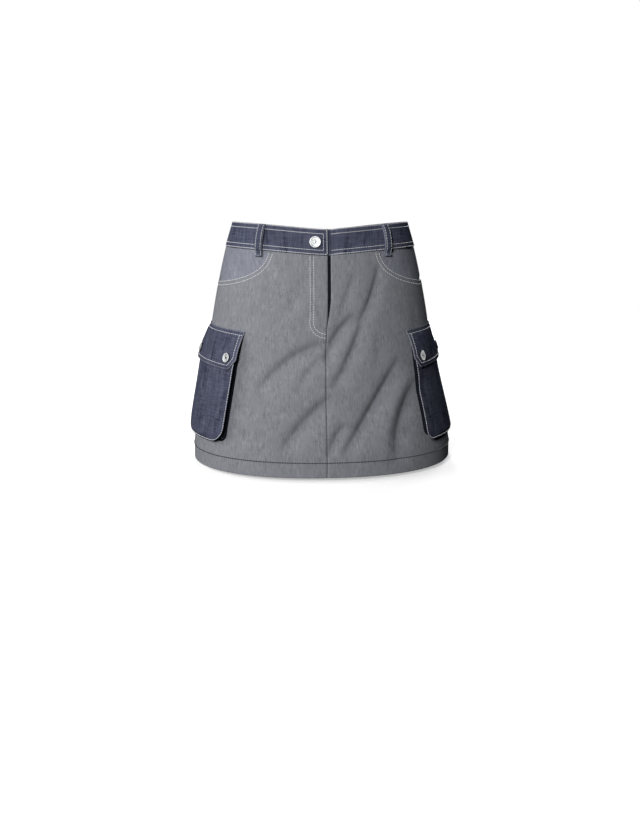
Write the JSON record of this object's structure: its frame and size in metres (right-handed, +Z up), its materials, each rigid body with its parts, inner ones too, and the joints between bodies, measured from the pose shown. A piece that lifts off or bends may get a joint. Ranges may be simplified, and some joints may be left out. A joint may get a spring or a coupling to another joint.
{
  "type": "cargo skort",
  "caption": "Short A-line cargo skort, worn and hollow: chambray skirt over plain shorts, denim waistband and belt loops, scooped hand pockets and buttoned flap pockets at the sides.",
  "frame": {"origin": "middle of the waist opening, level with the waistband's top edge at the sides, where the wearer's waist holds it", "axes": "+Z up through the waist opening, front faces -Y, +X to the wearer's left"},
  "size_m": [0.4236, 0.31, 0.3652],
  "materials": {
    "chambray": "matte grey chambray, fine vertical slubs",
    "denim": "matte dark navy denim with white topstitching",
    "shorts_cloth": "matte plain grey cloth",
    "button_metal": "worn nickel"
  },
  "bodies": {
    "root": {"front_right": "chambray", "front_left": "chambray", "back_right": "chambray", "back_left": "chambray", "pocket_facing_right": "chambray", "pocket_facing_left": "chambray", "fly_shield": "denim", "waistband_right": "denim", "waistband_left": "denim", "belt_loop_front_right": "denim", "belt_loop_front_left": "denim", "belt_loop_back_right": "denim", "belt_loop_back_left": "denim", "belt_loop_center": "denim", "cargo_pocket_right": "denim", "cargo_pocket_left": "denim", "pocket_flap_right": "denim", "pocket_flap_left": "denim", "shorts_front_right": "shorts_cloth", "shorts_back_right": "shorts_cloth", "shorts_front_left": "shorts_cloth", "shorts_back_left": "shorts_cloth", "waist_button": "button_metal", "flap_button_right_front": "button_metal", "flap_button_right_back": "button_metal", "flap_button_left_front": "button_metal", "flap_button_left_back": "button_metal"}
  },
  "joints": []
}
